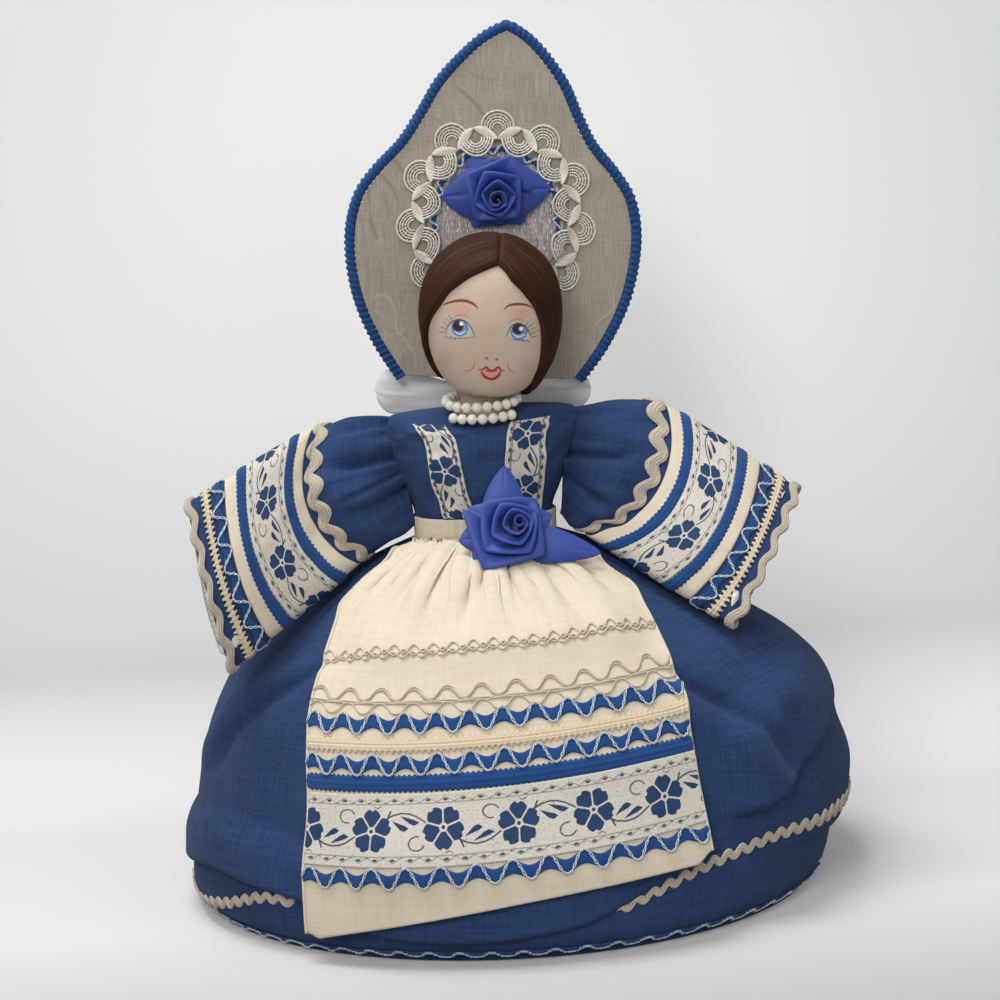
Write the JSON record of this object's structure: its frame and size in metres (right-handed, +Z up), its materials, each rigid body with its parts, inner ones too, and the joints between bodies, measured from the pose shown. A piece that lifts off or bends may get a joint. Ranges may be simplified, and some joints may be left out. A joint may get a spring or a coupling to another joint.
{
  "type": "tea cozy doll",
  "caption": "Stuffed cloth doll whose padded bell skirt stands over a teapot, with swinging arms, an apron and a stiff pointed headdress.",
  "frame": {"origin": "on the table under the middle of the hem, at the bottom centre of the box round the doll", "axes": "+Z up from the hem to the headdress, -Y out of the doll's face and apron, +X towards the doll's left hand"},
  "size_m": [0.3174, 0.2505, 0.3997],
  "materials": {
    "navy_linen": "plain woven navy linen",
    "cream_linen": "fine cream linen",
    "white_cotton": "plain white cotton",
    "batting": "white polyester batting",
    "blue_gimp": "matt cobalt gimp braid",
    "silver_rickrack": "cream wavy braid with silver thread",
    "zigzag_braid": "blue braid with a silver zigzag",
    "jacquard_ribbon": "white woven ribbon with blue flowers",
    "cream_braid": "cream picot braid",
    "cream_lace": "cream cotton lace",
    "silver_brocade": "beige silver brocade",
    "silver_lame": "glittering silver cloth",
    "blue_satin": "royal blue satin ribbon",
    "white_satin": "sheer white satin ribbon",
    "face_cloth": "smooth pale painted cloth",
    "brown_hair": "dark brown silky thread",
    "pearl_bead": "off-white pearl bead"
  },
  "bodies": {
    "doll": {"hem_binding": "navy_linen", "skirt_lining": "white_cotton", "skirt_padding": "batting", "skirt": "navy_linen", "skirt_rickrack": "silver_rickrack", "hem_braid": "zigzag_braid", "apron": "cream_linen", "apron_zigzag_braid_low": "zigzag_braid", "apron_jacquard": "jacquard_ribbon", "apron_blue_braid": "blue_gimp", "apron_zigzag_braid_middle": "zigzag_braid", "apron_cream_braid": "cream_braid", "apron_zigzag_braid_high": "zigzag_braid", "apron_zigzag_lace": "cream_lace", "apron_scallop_lace": "cream_lace", "apron_waistband": "cream_linen", "body_stuffing": "white_cotton", "bodice": "navy_linen", "right_bodice_strap": "jacquard_ribbon", "left_bodice_strap": "jacquard_ribbon", "head": "face_cloth", "hair": "brown_hair", "necklace_upper": "pearl_bead", "necklace_lower": "pearl_bead", "headdress_board": "silver_brocade", "headdress_edging": "blue_gimp", "headdress_lace": "cream_lace", "headdress_panel": "silver_lame", "headdress_zigzag_braid": "zigzag_braid", "headdress_rose_base": "blue_satin", "headdress_rose": "blue_satin", "bow_knot": "white_satin", "bow_right_loop": "white_satin", "bow_left_loop": "white_satin", "waist_rose_top_leaf": "blue_satin", "waist_rose_side_leaf": "blue_satin", "waist_rose": "blue_satin", "right_sleeve_puff": "navy_linen", "left_sleeve_puff": "navy_linen"},
    "right_arm": {"right_sleeve": "navy_linen", "right_arm_stuffing": "batting", "right_shoulder_rickrack": "silver_rickrack", "right_sleeve_cream_band": "cream_linen", "right_sleeve_inner_blue_braid": "blue_gimp", "right_sleeve_jacquard": "jacquard_ribbon", "right_sleeve_outer_blue_braid": "blue_gimp", "right_sleeve_zigzag_braid": "zigzag_braid", "right_sleeve_picot_braid": "cream_braid", "right_cuff_rickrack": "silver_rickrack"},
    "left_arm": {"left_sleeve": "navy_linen", "left_arm_stuffing": "batting", "left_shoulder_rickrack": "silver_rickrack", "left_sleeve_cream_band": "cream_linen", "left_sleeve_inner_blue_braid": "blue_gimp", "left_sleeve_jacquard": "jacquard_ribbon", "left_sleeve_outer_blue_braid": "blue_gimp", "left_sleeve_zigzag_braid": "zigzag_braid", "left_sleeve_picot_braid": "cream_braid", "left_cuff_rickrack": "silver_rickrack"}
  },
  "joints": [
    {"name": "right_shoulder", "type": "hinge", "parent": "doll", "child": "right_arm", "pos_m": [-0.0423, 0, 0.1989], "axis": [0, 1, 0], "range_deg": [0, 30]},
    {"name": "left_shoulder", "type": "hinge", "parent": "doll", "child": "left_arm", "pos_m": [0.0325, 0, 0.2109], "axis": [0, -1, 0], "range_deg": [0, 30]}
  ]
}
